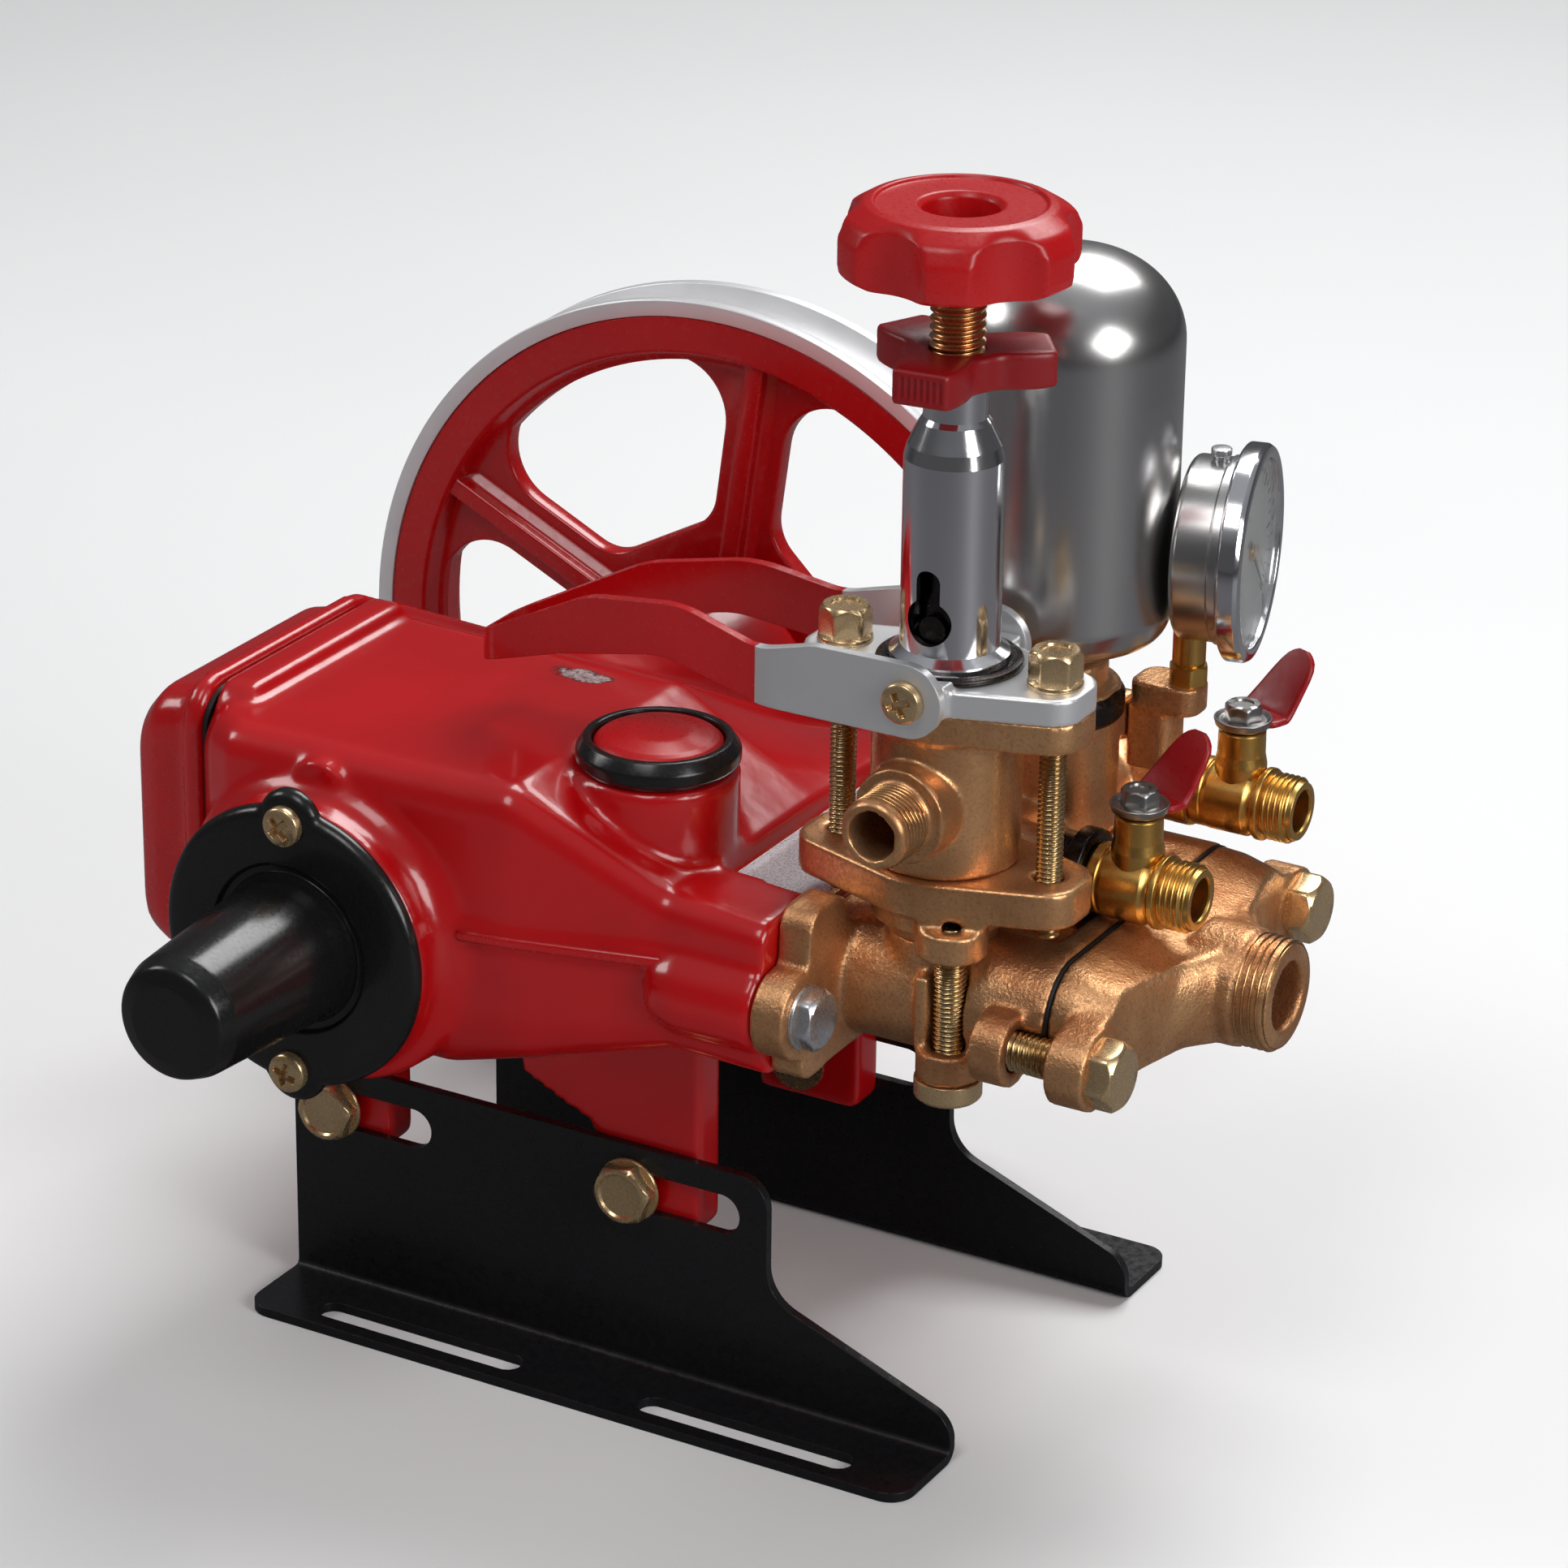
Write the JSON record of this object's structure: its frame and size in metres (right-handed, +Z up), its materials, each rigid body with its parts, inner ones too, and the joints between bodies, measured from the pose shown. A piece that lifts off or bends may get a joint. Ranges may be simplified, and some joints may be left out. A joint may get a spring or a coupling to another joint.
{
  "type": "plunger pump",
  "caption": "Belt-driven plunger pump with spoked pulley, brass liquid end, pressure regulator, air chamber, gauge and two outlet valves on slotted brackets.",
  "frame": {"origin": "on the floor at the centre of the four foot slots", "axes": "+X towards the brass liquid end and its suction port, +Y towards the pulley, +Z up"},
  "size_m": [0.3983, 0.3513, 0.388],
  "materials": {
    "red_enamel": "glossy enamel over casting",
    "black_paint": "satin paint on bent steel",
    "cast_brass": "rough as cast",
    "smooth_brass": "turned",
    "chrome": "plated and polished",
    "stainless": "brushed",
    "bright_zinc": "zinc plated",
    "yellow_zinc": "yellow passivated steel",
    "dark_steel": "blackened",
    "black_rubber": "sheet",
    "black_plastic": "moulded",
    "red_plastic": "moulded",
    "dial": "dark dial under a window"
  },
  "bodies": {
    "pump": {"crankcase": "red_enamel", "rear_cover": "red_enamel", "rear_gasket": "black_rubber", "shaft_end_cover": "black_plastic", "cover_screws": "yellow_zinc", "filler_ring": "black_plastic", "filler_cap": "red_plastic", "well_plate": "bright_zinc", "bracket_near": "black_paint", "bracket_far": "black_paint", "bracket_bolts": "yellow_zinc", "valve_block": "cast_brass", "block_bolts": "bright_zinc", "clamp_bolts": "yellow_zinc", "suction_gasket": "black_rubber", "suction_cover": "cast_brass", "suction_bolts": "yellow_zinc", "discharge_manifold": "cast_brass", "regulator_body": "cast_brass", "regulator_flange": "bright_zinc", "regulator_bolts": "yellow_zinc", "spring_housing": "chrome", "spring_stem": "dark_steel", "lever_pivots": "yellow_zinc", "air_chamber": "stainless", "gauge_block": "cast_brass", "gauge_stem": "smooth_brass", "gauge_case": "stainless", "gauge_bezel": "stainless", "gauge_dial": "dial", "collar_near": "dark_steel", "collar_far": "smooth_brass", "outlet_valve_near": "smooth_brass", "outlet_valve_far": "smooth_brass"},
    "pulley": {"pulley": "red_enamel", "crankshaft": "bright_zinc"},
    "relief_lever": {"relief_lever_fork": "bright_zinc", "relief_lever_handle": "red_enamel"},
    "knob": {"adjusting_knob": "red_plastic", "adjusting_screw": "smooth_brass"},
    "lock_nut": {"lock_nut": "red_plastic"},
    "outlet_lever_near": {"valve_lever_near": "red_plastic", "valve_nut_near": "bright_zinc"},
    "outlet_lever_far": {"valve_lever_far": "red_plastic", "valve_nut_far": "bright_zinc"}
  },
  "joints": [
    {"name": "pulley_turn", "type": "hinge", "parent": "pump", "child": "pulley", "pos_m": [-0.0743, 0.13375, 0.149], "axis": [0, 1, 0], "continuous": true},
    {"name": "relief_lever_lift", "type": "hinge", "parent": "pump", "child": "relief_lever", "pos_m": [0.103, -0.045, 0.2483], "axis": [0, 1, 0], "range_deg": [0, 55]},
    {"name": "knob_turn", "type": "hinge", "parent": "pump", "child": "knob", "pos_m": [0.1025, -0.045, 0.372], "axis": [0, 0, 1], "continuous": true},
    {"name": "lock_nut_turn", "type": "hinge", "parent": "pump", "child": "lock_nut", "pos_m": [0.1025, -0.045, 0.338], "axis": [0, 0, 1], "continuous": true},
    {"name": "outlet_lever_near_turn", "type": "hinge", "parent": "pump", "child": "outlet_lever_near", "pos_m": [0.1496, -0.014, 0.2046], "axis": [0, 0, 1], "range_deg": [-90, 0]},
    {"name": "outlet_lever_far_turn", "type": "hinge", "parent": "pump", "child": "outlet_lever_far", "pos_m": [0.1475, 0.06, 0.2046], "axis": [0, 0, 1], "range_deg": [-90, 0]}
  ]
}
